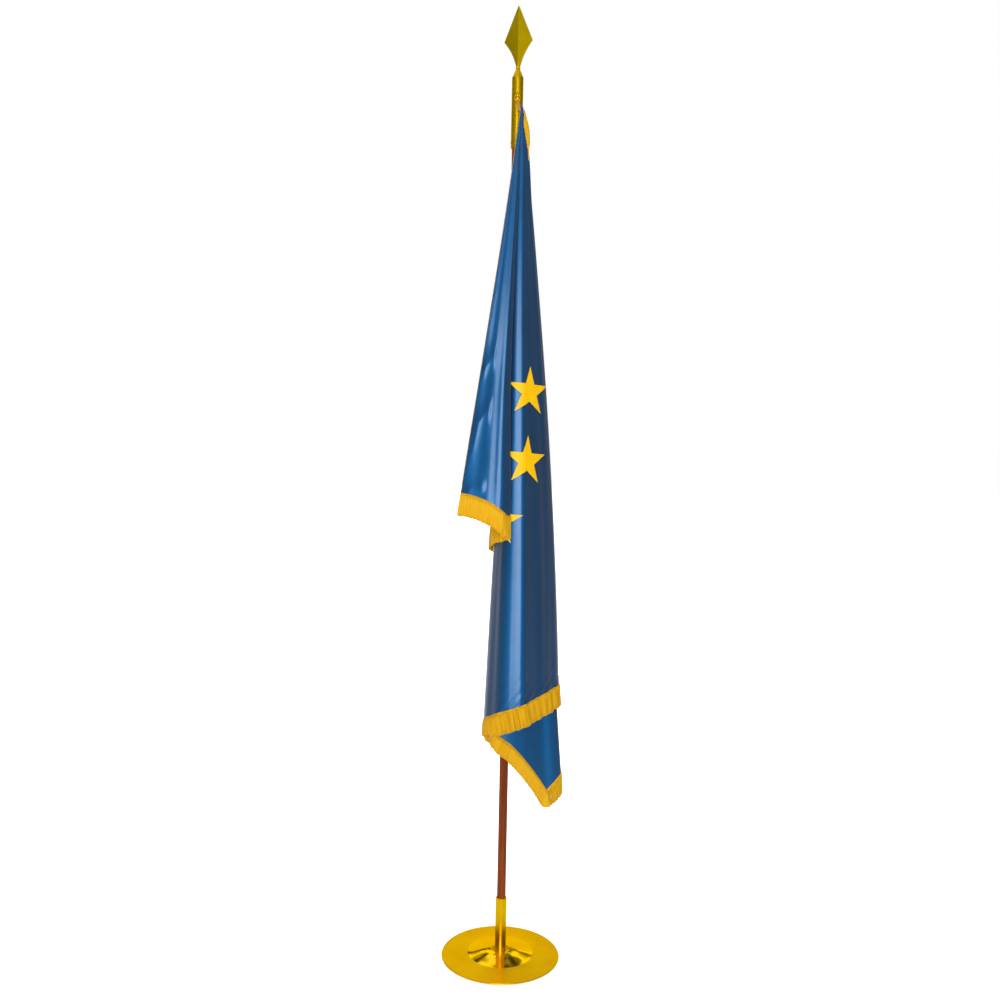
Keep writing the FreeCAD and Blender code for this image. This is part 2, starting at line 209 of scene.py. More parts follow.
def satin_material():
    """Blue satin: fine warp and weft, long soft sheen, slight colour drift."""
    s = Surface(
        "blue_satin",
        Metallic=1.0,
        Specular_IOR_Level=0.5,
        Coat_Weight=1.0,
        Coat_Roughness=0.22,
        Sheen_Weight=0.50,
        Sheen_Roughness=0.45,
        Sheen_Tint=(1.0, 0.88, 0.80, 1.0),
    )
    flat = s.place(coordinates="UV")
    drift = s.noise(flat, 9.0, detail=4.0)
    colour = s.ramp(drift, (0.3, (0.001, 0.112, 0.310)), (0.7, (0.001, 0.132, 0.360)))
    s.feed(colour, "Base Color")
    s.feed(s.spread(s.noise(flat, 26.0), 0.50, 0.58), "Roughness")
    warp = s.wave(flat, 380.0, direction="X")
    weft = s.wave(flat, 120.0, direction="Y")
    woven = s.total(warp, weft)
    fine = s.bump(woven, 0.10, 0.00008)
    handled = s.bump(s.noise(flat, 22.0, detail=2.0, roughness=0.4), 0.10, 0.0010, base=fine)
    s.feed(handled, "Normal")
    return s.material


def fringe_material():
    """Gold rayon cord: each strand a little lighter or darker, with a fine twist."""
    s = Surface("gold_fringe", Specular_IOR_Level=0.18)
    along = s.place(coordinates="UV")
    per_strand = s.node("ShaderNodeTexNoise")
    per_strand.inputs["Scale"].default_value = 0.37
    per_strand.inputs["Detail"].default_value = 2.0
    split = s.node("ShaderNodeSeparateXYZ")
    s.link(along, split.inputs["Vector"])
    strand_row = s.node("ShaderNodeCombineXYZ")
    s.link(split.outputs["X"], strand_row.inputs["X"])
    s.link(strand_row.outputs["Vector"], per_strand.inputs["Vector"])
    colour = s.ramp(
        per_strand.outputs["Fac"],
        (0.28, (0.47, 0.22, 0.002)),
        (0.5, (0.64, 0.34, 0.003)),
        (0.72, (0.78, 0.46, 0.005)),
    )
    s.feed(colour, "Base Color")
    s.feed(s.spread(per_strand.outputs["Fac"], 0.34, 0.5), "Roughness")
    twist = s.wave(along, 5.0, direction="DIAGONAL")
    s.feed(s.bump(twist, 0.35, 0.0004), "Normal")
    return s.material


def braid_material():
    """Woven gold heading of the fringe, ribbed across its width."""
    s = Surface("gold_braid", Specular_IOR_Level=0.2)
    along = s.place(coordinates="UV")
    ribs = s.wave(along, 190.0, direction="X")
    cross = s.wave(along, 130.0, direction="Y")
    lattice = s.total(ribs, cross)
    colour = s.ramp(s.noise(along, 60.0), (0.3, (0.50, 0.24, 0.003)), (0.7, (0.68, 0.36, 0.004)))
    s.feed(colour, "Base Color")
    s.feed(s.spread(ribs, 0.38, 0.55), "Roughness")
    s.feed(s.bump(lattice, 0.5, 0.0005), "Normal")
    return s.material


def star_material():
    """Yellow satin applique with a close zigzag of thread."""
    s = Surface("yellow_star", Specular_IOR_Level=0.22)
    flat = s.place(coordinates="UV")
    colour = s.ramp(s.noise(flat, 40.0), (0.3, (0.80, 0.44, 0.001)), (0.7, (0.86, 0.50, 0.002)))
    s.feed(colour, "Base Color")
    s.feed(s.spread(s.noise(flat, 90.0), 0.40, 0.52), "Roughness")
    threads = s.wave(flat, 300.0, direction="DIAGONAL")
    s.feed(s.bump(threads, 0.12, 0.0002), "Normal")
    return s.material


# Brass keeps its yellow where it is seen edge on.
BRASS_EDGE = (1.0, 0.72, 0.10, 1.0)
DOME_ROUGHNESS = 0.03
FLANGE_ROUGHNESS = 0.30
POLISH_BORDER = 0.003


def polished_brass_material():
    """Spun and lacquered brass: mirror-bright dome, satin flange, faint turning rings."""
    s = Surface("polished_brass", Metallic=1.0, Specular_Tint=BRASS_EDGE)
    where = s.place()
    drift = s.noise(where, 14.0, detail=4.0)
    colour = s.ramp(drift, (0.3, (0.84, 0.47, 0.012)), (0.7, (0.93, 0.56, 0.022)))
    s.feed(colour, "Base Color")
    level = s.place(scale=(1.0, 1.0, 0.0))
    from_axis = s.node("ShaderNodeVectorMath", operation="LENGTH")
    s.link(level, from_axis.inputs[0])
    satin = s.node("ShaderNodeMapRange", interpolation_type="SMOOTHSTEP")
    satin.inputs["From Min"].default_value = DOME_RADIUS - POLISH_BORDER
    satin.inputs["From Max"].default_value = DOME_RADIUS + POLISH_BORDER
    satin.inputs["To Min"].default_value = DOME_ROUGHNESS
    satin.inputs["To Max"].default_value = FLANGE_ROUGHNESS
    s.link(from_axis.outputs["Value"], satin.inputs["Value"])
    wiped = s.spread(s.noise(where, 60.0, detail=6.0, roughness=0.65), 0.0, 0.05)
    s.feed(s.total(satin.outputs["Result"], wiped), "Roughness")
    rings = s.wave(where, 95.0, kind="RINGS", direction="Z", distortion=0.4)
    spun = s.bump(rings, 0.03, 0.0003)
    s.feed(s.bump(s.noise(where, 30.0, detail=2.0), 0.10, 0.0008, base=spun), "Normal")
    return s.material


def satin_brass_material(name, dark, light, low, high):
    """Gold-lacquered brass, less polished than the foot."""
    s = Surface(name, Metallic=1.0, Specular_Tint=BRASS_EDGE)
    where = s.place()
    colour = s.ramp(s.noise(where, 28.0, detail=5.0), (0.3, dark), (0.7, light))
    s.feed(colour, "Base Color")
    s.feed(s.spread(s.noise(where, 120.0, detail=5.0, roughness=0.6), low, high), "Roughness")
    fine = s.place(scale=(1.0, 1.0, 14.0))
    s.feed(s.bump(s.noise(fine, 160.0, detail=3.0), 0.06, 0.0003), "Normal")
    return s.material


def mahogany_material():
    """Red-brown turned hardwood, grain along the pole, under clear varnish."""
    s = Surface("mahogany", Coat_Weight=0.03, Coat_Roughness=0.25, Specular_IOR_Level=0.08)
    grain_place = s.place(scale=(1.0, 1.0, 0.035))
    grain = s.noise(grain_place, 170.0, detail=7.0, roughness=0.62, distortion=0.6)
    broad = s.noise(s.place(scale=(1.0, 1.0, 0.08)), 38.0, detail=3.0)
    mixed = s.total(grain, broad)
    half = s.node("ShaderNodeMath", operation="MULTIPLY")
    half.inputs[1].default_value = 0.5
    s.link(mixed, half.inputs[0])
    colour = s.ramp(
        half.outputs["Value"],
        (0.32, (0.115, 0.022, 0.005)),
        (0.50, (0.215, 0.047, 0.010)),
        (0.66, (0.300, 0.078, 0.018)),
    )
    s.feed(colour, "Base Color")
    s.feed(s.spread(grain, 0.45, 0.6), "Roughness")
    s.feed(s.bump(grain, 0.14, 0.0005), "Normal")
    return s.material


def grainy_material(name, dark, light, scale, low, high, strength, distance, **sockets):
    """Grained material between two colours, with its grain size, roughness range and relief."""
    s = Surface(name, **sockets)
    where = s.place()
    grain = s.noise(where, scale, detail=6.0, roughness=0.65)
    s.feed(s.ramp(grain, (0.3, dark), (0.7, light)), "Base Color")
    s.feed(s.spread(grain, low, high), "Roughness")
    s.feed(s.bump(grain, strength, distance), "Normal")
    return s.material


def webbing_material():
    """Brown-gold webbing with ribs along the strap."""
    s = Surface("webbing", Sheen_Weight=0.15, Sheen_Roughness=0.4)
    where = s.place()
    ribs = s.wave(where, 420.0, direction="X")
    colour = s.ramp(ribs, (0.2, (0.30, 0.13, 0.020)), (0.8, (0.52, 0.25, 0.035)))
    s.feed(colour, "Base Color")
    s.feed(s.spread(ribs, 0.6, 0.8), "Roughness")
    s.feed(s.bump(ribs, 0.5, 0.0003), "Normal")
    return s.material


def make_materials():
    """Every material by name."""
    made = {
        "blue_satin": satin_material(),
        "gold_fringe": fringe_material(),
        "gold_braid": braid_material(),
        "yellow_star": star_material(),
        "polished_brass": polished_brass_material(),
        "ferrule_brass": satin_brass_material(
            "ferrule_brass", (0.84, 0.55, 0.006), (0.96, 0.63, 0.010), 0.36, 0.48
        ),
        "spear_brass": satin_brass_material(
            "spear_brass", (0.82, 0.56, 0.002), (0.94, 0.66, 0.004), 0.32, 0.44
        ),
        "tube_brass": satin_brass_material(
            "tube_brass", (0.88, 0.54, 0.003), (0.96, 0.60, 0.005), 0.28, 0.38
        ),
        "mahogany": mahogany_material(),
        "webbing": webbing_material(),
    }
    made["cast_iron"] = grainy_material(
        "cast_iron",
        (0.020, 0.020, 0.022), (0.050, 0.050, 0.054),
        90.0, 0.6, 0.85, 0.5, 0.001,
        Metallic=0.6,
    )
    made["zinc_steel"] = grainy_material(
        "zinc_steel",
        (0.42, 0.43, 0.45), (0.58, 0.59, 0.62),
        140.0, 0.25, 0.4, 0.1, 0.0003,
        Metallic=1.0,
    )
    made["black_rubber"] = grainy_material(
        "black_rubber",
        (0.012, 0.012, 0.012), (0.022, 0.022, 0.022),
        300.0, 0.6, 0.8, 0.3, 0.0004,
    )
    made["red_felt"] = grainy_material(
        "red_felt",
        (0.16, 0.012, 0.014), (0.26, 0.025, 0.028),
        700.0, 0.85, 0.98, 0.6, 0.0006,
        Sheen_Weight=0.5,
    )
    made["brown_fibre"] = grainy_material(
        "brown_fibre",
        (0.09, 0.045, 0.022), (0.16, 0.085, 0.045),
        400.0, 0.6, 0.75, 0.3, 0.0003,
    )
    return made


MATERIALS = make_materials()

# CAD nodes whose brass is finished unlike the rest of their slot.
OWN_FINISH = {"spear_finial": "spear_brass", "socket_tube": "tube_brass"}


def paint_cad_nodes():
    """Every CAD node takes its slot's material; the spear and the tube have their own finish."""
    for part in frame["record"]["subparts"]:
        node = frame["nodes"].get(part["node"])
        if node is None:
            continue
        name = OWN_FINISH.get(part["node"], part["material_slot"])
        node.data.materials.clear()
        node.data.materials.append(MATERIALS[name])


# ---- the hanging cloth's surface ---------------------------------------------------------

# Plan of the hanging cloth at one metre below its corner: (x, y) from the corner in
# millimetres, and where it is known the angle in degrees, from the hoist, of the ray of the
# flat flag that hangs there.  The cloth is a cone over this line.
PLAN = [
    (-129, -90, 0.0),
    (-100, -96, None),
    (-76, -101, None),
    (-62, -103.5, None),
    (-54, -104.5, None),
    (-45, -105, None),
    (-35, -104, None),
    (-20, -95, 17.0),
    (-12, -88, None),
    (-16, -84, None),
    (-32, -72, None),
    (-44, -52, None),
    (-48, -30, None),
    (-47, -8, 22.0),
    (-42, 3, None),
    (-33, 5, None),
    (-24, 0, None),
    (-10, -5, None),
    (20, -7, None),
    (58, -7, None),
    (64, -11, None),
    (58, -16, None),
    (20, -17, None),
    (-16, -17, None),
    (-21, -21, None),
    (-16, -26, None),
    (14, -27, None),
    (38, -25, None),
    (42, -28, None),
    (38, -32, None),
    (14, -34, None),
    (-12, -34, None),
    (-17, -38, None),
    (-10, -43, None),
    (15, -44, None),
    (36, -37, None),
    (54, -27, None),
    (70, -13, None),
    (81, -5, 54.4),
    (88, -12, None),
    (86, -20, None),
    (78, -25, None),
    (64, -29.5, math.degrees(CORNER_ANGLE)),
    (46, -38, 58.6),
    (24, -49, 62.0),
    (8, -55, 64.2),
    (-8, -56, 65.6),
    (-22, -49, 67.5),
    (-30, -37, None),
    (-32, -22, None),
    (-35, -14, None),
    (-38.5, -20, 68.6),
    (-37, -36, None),
    (-28, -54, None),
    (-17, -70, None),
    (-8, -77.5, None),
    (0, -80.5, None),
    (8, -81.4, None),
    (16, -81.6, None),
    (23, -81, None),
    (30, -78, None),
    (35, -73.5, None),
    (52, -57, None),
    (72, -38, None),
    (87, -21, None),
    (94, -8, 81.0),
    (92, 5, None),
    (78, 20, None),
    (52, 27, None),
    (32, 20, None),
    (18, 9, None),
    (0, 5, None),
    (-16, 6, 90.0),
]


def smooth_steps(low, high, value):
    """0 below low, 1 above high, eased between."""
    share = np.clip((value - low) / (high - low), 0.0, 1.0)
    return share * share * (3.0 - 2.0 * share)


def through_points(points, per_span=24):
    """Centripetal Catmull-Rom line through the points, and each point's index on it."""
    pts = np.array(points, dtype=float)
    pts = np.vstack([2 * pts[0] - pts[1], pts, 2 * pts[-1] - pts[-2]])
    line = []
    marks = []
    for i in range(1, len(pts) - 2):
        p0, p1, p2, p3 = pts[i - 1:i + 3]
        t1 = math.sqrt(np.linalg.norm(p1 - p0))
        t2 = t1 + math.sqrt(np.linalg.norm(p2 - p1))
        t3 = t2 + math.sqrt(np.linalg.norm(p3 - p2))
        marks.append(len(line))
        for t in np.linspace(t1, t2, per_span, endpoint=False):
            a1 = (t1 - t) / t1 * p0 + t / t1 * p1
            a2 = (t2 - t) / (t2 - t1) * p1 + (t - t1) / (t2 - t1) * p2
            a3 = (t3 - t) / (t3 - t2) * p2 + (t - t2) / (t3 - t2) * p3
            b1 = (t2 - t) / t2 * a1 + t / t2 * a2
            b2 = (t3 - t) / (t3 - t1) * a2 + (t - t1) / (t3 - t1) * a3
            line.append((t2 - t) / (t2 - t1) * b1 + (t - t1) / (t2 - t1) * b2)
    marks.append(len(line))
    line.append(pts[-2])
    return np.array(line), marks


# Soft creases of the front lobe: lean from level, spacing in metres, phase, height in metres.
CRUMPLES = [
    (math.radians(38), 0.130, 0.4, 0.0022),
    (math.radians(64), 0.085, 1.9, 0.0010),
]


class Drape:
    """Where each point of the flat flag hangs."""

    def __init__(self):
        """Measure along the plan line and tie the flag's angles to it."""
        line, marks = through_points([(x / 1000.0, y / 1000.0) for x, y, _ in PLAN])
        steps = np.linalg.norm(np.diff(line, axis=0), axis=1)
        self.line = line
        self.along = np.concatenate([[0.0], np.cumsum(steps)])
        self.length = self.along[-1]
        known = [
            (self.along[mark], angle)
            for mark, (_, _, angle) in zip(marks, PLAN)
            if angle is not None
        ]
        self.known_along = np.array([a for a, _ in known])
        self.known_angle = np.radians([angle for _, angle in known])
        tangent = np.gradient(line, self.along, axis=0)
        tangent /= np.linalg.norm(tangent, axis=1)[:, None]
        self.outward = np.stack([tangent[:, 1], -tangent[:, 0]], axis=1)

    def angle_at(self, along):
        """Angle in the flat flag of the ray that hangs at a place along the plan."""
        return np.interp(along, self.known_along, self.known_angle)

    def along_at(self, angle):
        """Place along the plan where a ray of the flat flag hangs."""
        return np.interp(angle, self.known_angle, self.known_along)

    def plan(self, along):
        """The plan's point and outward direction at a place along it."""
        x = np.interp(along, self.along, self.line[:, 0])
        y = np.interp(along, self.along, self.line[:, 1])
        nx = np.interp(along, self.along, self.outward[:, 0])
        ny = np.interp(along, self.along, self.outward[:, 1])
        return x, y, nx, ny

    def point(self, along, reach):
        """Place in space of the cloth on a ray of the plan, at a distance from the corner."""
        along, reach = np.broadcast_arrays(np.asarray(along, float), np.asarray(reach, float))
        x, y, nx, ny = self.plan(along)
        angle = self.angle_at(along)
        gathered = 1.0 - 0.010 * np.exp(-(((angle - CORNER_ANGLE) / math.radians(6)) ** 2))
        drop = reach * gathered / np.sqrt(1.0 + x * x + y * y)

        # the free top edge swings out above and tucks in behind below
        top_edge = smooth_steps(math.radians(82), math.radians(90), angle)
        loose_top = 1.0 - smooth_steps(0.05, 0.20, drop)
        low_back = smooth_steps(0.95, 1.15, drop)
        x = x + top_edge * (0.150 * loose_top - 0.020 * low_back)
        y = y + top_edge * (-0.020 * loose_top + 0.002 * low_back)

        # the folds spread near the corner, and the front lobe is narrow there
        wide = np.maximum(1.48 - 0.38 * drop, 0.95) + 0.8 * smooth_steps(0.25, 0.0, drop)
        lobe = smooth_steps(math.radians(19), math.radians(16), angle)
        narrow = 1.0 - lobe * 0.13 * (1.0 - smooth_steps(0.15, 0.95, drop))
        x = np.where(x > 0, x * wide, x * narrow)

        # the front lobe's inner fold leans out at its foot, and its edge turns back higher up
        fold = smooth_steps(0.0, math.radians(12), angle)
        fold = fold * smooth_steps(math.radians(20), math.radians(18), angle)
        x = x + 0.009 * fold * smooth_steps(0.62, 1.02, drop)
        y = y + 0.11 * lobe * np.minimum(x + 0.040, 0.0) * smooth_steps(0.72, 0.52, drop)

        # the lowest part hangs closer to plumb
        y = y * (1.0 - 0.32 * np.clip(drop - 0.95, 0.0, None))

        push = self.wrinkle(along, angle, drop, reach)
        px = APEX[0] + x * drop + nx * push + 0.004 * smooth_steps(0.55, 0.05, drop)
        py = APEX[1] + y * drop + ny * push
        pz = APEX[2] - drop
        return np.stack([px, py, pz], axis=-1)

    def wrinkle(self, along, angle, drop, reach):
        """How far the cloth stands out from the plain cone."""
        metres = along * np.clip(drop, 0.05, None)

        # shallow flutes that run down from the corner
        slow = 1.3 * np.sin(3.1 * drop)
        quick = 2.0 + 2.2 * np.sin(2.3 * drop + 40 * along)
        flutes = 0.0005 * np.sin(2 * math.pi * along / 0.047 + slow)
        flutes += 0.0002 * np.sin(2 * math.pi * along / 0.027 + quick)
        push = flutes * np.clip(drop, 0.0, 1.2)

        # creases across the front lobe
        front_lobe = smooth_steps(math.radians(9), math.radians(7), angle)
        front_lobe = front_lobe * smooth_steps(0.0, math.radians(3), angle)
        low = smooth_steps(0.40, 0.75, drop)
        warp = 0.012 * np.sin(2 * math.pi * drop / 0.23) + 0.010 * np.sin(2 * math.pi * metres / 0.11)
        for lean, pitch, phase, size in CRUMPLES:
            across = math.cos(lean) * drop + math.sin(lean) * metres + warp
            crease = 1.0 - np.abs(np.sin(math.pi * across / pitch + phase))
            push = push + size * front_lobe * low * crease * crease

        # puckers along the hem, strongest where the fly edge crosses the front
        hem_gap = edge_reach(angle) - reach
        ripple = np.exp(-np.clip(hem_gap, 0.0, None) / 0.045)
        pucker = np.sin(2 * math.pi * metres / 0.017) + 0.6 * np.sin(2 * math.pi * metres / 0.029 + 0.7)
        front_hem = smooth_steps(math.radians(69), math.radians(73), angle)
        push = push + (0.0001 + 0.0010 * front_hem) * ripple * pucker
        return push

    def from_flat(self, s, t):
        """Plan place and distance from the corner of a point of the flat flag."""
        return self.along_at(np.arctan2(s, t)), np.hypot(s, t)

    def frame_at(self, along, reach):
        """Place, unit direction away from the corner, sideways and front-facing normal."""
        step_along = 0.0008
        step_reach = 0.002
        here = self.point(along, reach)
        side = self.point(along + step_along, reach) - self.point(along - step_along, reach)
        down = self.point(along, reach + step_reach) - self.point(along, reach - step_reach)
        side /= np.linalg.norm(side, axis=-1, keepdims=True) + 1e-12
        down /= np.linalg.norm(down, axis=-1, keepdims=True) + 1e-12
        normal = np.cross(down, side)
        normal /= np.linalg.norm(normal, axis=-1, keepdims=True) + 1e-12
        return here, down, side, normal


def edge_reach(angle):
    """Distance from the hanging corner to the far edge of the flat flag along a ray."""
    to_bottom = HOIST / np.maximum(np.cos(angle), 1e-6)
    to_fly = FLY / np.maximum(np.sin(angle), 1e-6)
    return np.minimum(to_bottom, to_fly)


DRAPE = Drape()


# ---- mesh helpers ------------------------------------------------------------------------

def mesh_piece(name, points, faces, material, uvs=None):
    """Smooth-shaded mesh object from arrays of points and faces."""
    mesh = bpy.data.meshes.new(name)
    mesh.from_pydata([tuple(p) for p in np.asarray(points)], [], [tuple(f) for f in faces])
    mesh.materials.append(material)
    if uvs is not None:
        layer = mesh.uv_layers.new(name="flat")
        corner_vertex = np.empty(len(mesh.loops), dtype=np.int64)
        mesh.loops.foreach_get("vertex_index", corner_vertex)
        layer.data.foreach_set("uv", np.asarray(uvs)[corner_vertex].astype(np.float32).ravel())
    mesh.shade_smooth()
    mesh.update()
    made = bpy.data.objects.new(name, mesh)
    scene.collection.objects.link(made)
    return made


def grid_faces(rows, columns, wrap=False):
    """Quads of a grid whose vertices are numbered row by row."""
    faces = []
    across = columns if wrap else columns - 1
    for row in range(rows - 1):
        for column in range(across):
            after = (column + 1) % columns
            a = row * columns + column
            b = row * columns + after
            faces.append((a, b, b + columns, a + columns))
    return faces


def thicken(piece, thickness):
    """Give a sheet its thickness, half to each side."""
    modifier = piece.modifiers.new("thickness", "SOLIDIFY")
    modifier.thickness = thickness
    modifier.offset = 0.0


# ---- flag cloth --------------------------------------------------------------------------

def column_stations():
    """Even steps along the plan, with a column exactly on the flag's fly corner."""
    stations = np.linspace(0.0, DRAPE.length, COLUMNS)
    corner = DRAPE.along_at(CORNER_ANGLE)
    stations[np.argmin(np.abs(stations - corner))] = corner
    return stations


def make_cloth():
    """The flag's one sheet, with its flat-flag place in metres as texture coordinates."""
    stations = column_stations()
    angles = DRAPE.angle_at(stations)
    share = np.linspace(0.0, 1.0, ROWS) ** 0.85
    share[0] = 0.004
    reach = share[:, None] * edge_reach(angles)[None, :]
    along = np.broadcast_to(stations[None, :], reach.shape)
    points = DRAPE.point(along, reach).reshape(-1, 3)
    flat = np.stack([reach * np.sin(angles), reach * np.cos(angles)], axis=-1).reshape(-1, 2)
    cloth = mesh_piece(
        "flag_sheet", points, grid_faces(ROWS, COLUMNS), MATERIALS["blue_satin"], uvs=flat
    )
    thicken(cloth, CLOTH_THICKNESS)
    return cloth


# ---- fringe ------------------------------------------------------------------------------

# Strands fanned round each lower corner, and where those corners are on the lower edge.
FAN_STRANDS = 90
CORNER_PLACE = {"hoist_corner": 0.0, "fly_corner": FLY}


def edge_points(edge, pitch):
    """Evenly spaced flat-flag points along one edge, and the flat direction off that edge."""
    if edge == "hoist":
        t = np.arange(0.02, HOIST, pitch)
        return np.zeros_like(t), t, np.tile((-1.0, 0.0), (len(t), 1))
    if edge == "top":
        s = np.arange(0.02, FLY, pitch)
        return s, np.zeros_like(s), np.tile((0.0, -1.0), (len(s), 1))
    if edge == "bottom":
        s = np.arange(0.0, FLY, pitch)
        return s, np.full_like(s, HOIST), np.tile((0.0, 1.0), (len(s), 1))
    if edge in CORNER_PLACE:
        s = np.full(FAN_STRANDS, CORNER_PLACE[edge])
        return s, np.full_like(s, HOIST), np.tile((0.0, 1.0), (len(s), 1))
    t = np.arange(0.0, HOIST, pitch)
    return np.full_like(t, FLY), t, np.tile((1.0, 0.0), (len(t), 1))


def edge_frames(edge, pitch, inset=0.0):
    """Place, outward direction and normal of the hung cloth along an edge."""
    s, t, off = edge_points(edge, pitch)
    s_in = np.clip(s - inset * off[:, 0], 0.0, FLY)
    t_in = np.clip(t - inset * off[:, 1], 0.0, HOIST)
    along, reach = DRAPE.from_flat(s_in, t_in)
    here, down, side, normal = DRAPE.frame_at(along, np.maximum(reach, 0.003))
    angle = np.arctan2(s_in, t_in)
    radial = np.stack([np.sin(angle), np.cos(angle)], axis=1)
    across = np.stack([np.cos(angle), -np.sin(angle)], axis=1)
    outward = down * np.sum(radial * off, axis=1)[:, None]
    outward = outward + side * np.sum(across * off, axis=1)[:, None]
    return here, outward, normal


# Lean of the strands away from the edge, at their root and at their tip, for each edge.
FRINGE_LEAN = {
    "hoist": (0.04, 0.0),
    "top": (0.10, 0.0),
    "bottom": (0.75, 0.25),
    "fly": (0.92, 0.70),
}

# A corner's strands turn between the end of one edge and the end of another.
CORNER_BETWEEN = {
    "hoist_corner": (("hoist", -1), ("bottom", 0)),
    "fly_corner": (("bottom", -1), ("fly", -1)),
}

# Which faces of the cloth carry a layer of strands: -1 is the back, 1 the front.
FRINGE_LAYERS = {
    "hoist": (-1.0,),
    "top": (-1.0,),
    "bottom": (-1.0, 1.0),
    "fly": (-1.0, 1.0),
    "hoist_corner": (-1.0, 1.0),
    "fly_corner": (-1.0, 1.0),
}

# Near the lowest corner the strands are shorter by this share, and stand out less.
CORNER_SHORTENING = 0.28
CORNER_DROOP = 0.50

# Strands that are averaged together, and how far tips may part before more strands are laid.
FRINGE_EVENING = 31
WIDEST_TIP_GAP = 1.8 * FRINGE_PITCH
FILLING_ROUNDS = 4

STRAND_RINGS = 6
STRAND_SIDES = 4


def evened(directions, window):
    """Running mean of unit directions, so neighbouring strands hang alike."""
    half = window // 2
    padded = np.pad(directions, ((half, half), (0, 0)), mode="edge")
    kernel = np.ones(window) / window
    smoothed = [np.convolve(padded[:, axis], kernel, mode="valid") for axis in range(3)]
    mean = np.stack(smoothed, axis=1)
    return mean / (np.linalg.norm(mean, axis=1, keepdims=True) + 1e-12)


def strand_directions(edge):
    """Outward direction of each strand, and its lean at root and tip."""
    if edge not in CORNER_BETWEEN:
        _, outward, _ = edge_frames(edge, FRINGE_PITCH)
        root, tip = FRINGE_LEAN[edge]
        root = np.full((len(outward), 1), root)
        if edge == "bottom":
            from_corner = FRINGE_PITCH * np.arange(len(outward))[::-1, None]
            root = root - CORNER_DROOP * smooth_steps(0.10, 0.04, from_corner)
        return evened(outward, FRINGE_EVENING), root, np.full_like(root, tip)
    (first, first_end), (last, last_end) = CORNER_BETWEEN[edge]
    first_out, first_root, first_tip = strand_directions(first)
    last_out, last_root, last_tip = strand_directions(last)
    share = np.linspace(0.0, 1.0, FAN_STRANDS)[:, None]
    outward = (1.0 - share) * first_out[first_end] + share * last_out[last_end]
    outward /= np.linalg.norm(outward, axis=1, keepdims=True)
    root = (1.0 - share) * first_root[first_end] + share * last_root[last_end]
    tip = (1.0 - share) * first_tip[first_end] + share * last_tip[last_end]
    return outward, root, tip


def filled(lines):
    """Strands with more laid half-way between neighbours whose tips have spread apart."""
    for _ in range(FILLING_ROUNDS):
        spread = np.linalg.norm(np.diff(lines[:, -1], axis=0), axis=1)
        wide = np.nonzero(spread > WIDEST_TIP_GAP)[0]
        between = 0.5 * (lines[wide] + lines[wide + 1])
        lines = np.insert(lines, wide + 1, between, axis=0)
    return lines


def strand_lines(edge, layer):
    """Centre lines of the strands on one edge: (strands, rings, 3)."""
    here, _, normal = edge_frames(edge, FRINGE_PITCH)
    outward, lean_root, lean_tip = strand_directions(edge)
    count = len(here)
    number = np.arange(count)
    sway = 0.030 * np.sin(number / 9.0 + layer) + 0.012 * np.sin(number / 3.7 + 2 * layer)
    sway = sway + rng.normal(0.0, 0.018, count)
    length = FRINGE_LENGTH * (1.0 + rng.normal(0.0, 0.018, count) - 0.01 * layer)
    from_corner = FRINGE_PITCH * number[::-1]
    if edge == "fly_corner":
        length = length * (1.0 - CORNER_SHORTENING)
    elif edge == "bottom":
        length = length * (1.0 - CORNER_SHORTENING * np.exp(-from_corner / 0.060))
    elif edge == "fly":
        length = length * (1.0 - CORNER_SHORTENING * smooth_steps(0.50, 0.42, from_corner))
    along_edge = np.gradient(here, axis=0)
    along_edge /= np.linalg.norm(along_edge, axis=1, keepdims=True) + 1e-12
    gravity = np.array([0.0, 0.0, -1.0])
    start = here - outward * 0.002 + normal * (0.0012 * layer)
    lines = [start]
    for ring in range(1, STRAND_RINGS):
        share = ring / (STRAND_RINGS - 1)
        lean = lean_root + (lean_tip - lean_root) * share ** 0.5
        heading = outward * lean + gravity * (1.0 - lean)
        heading = heading + along_edge * (sway * share)[:, None]
        heading = heading + normal * (0.05 * layer * (1 - share))
        heading /= np.linalg.norm(heading, axis=1, keepdims=True)
        lines.append(lines[-1] + heading * (length / (STRAND_RINGS - 1))[:, None])
    return filled(np.stack(lines, axis=1))


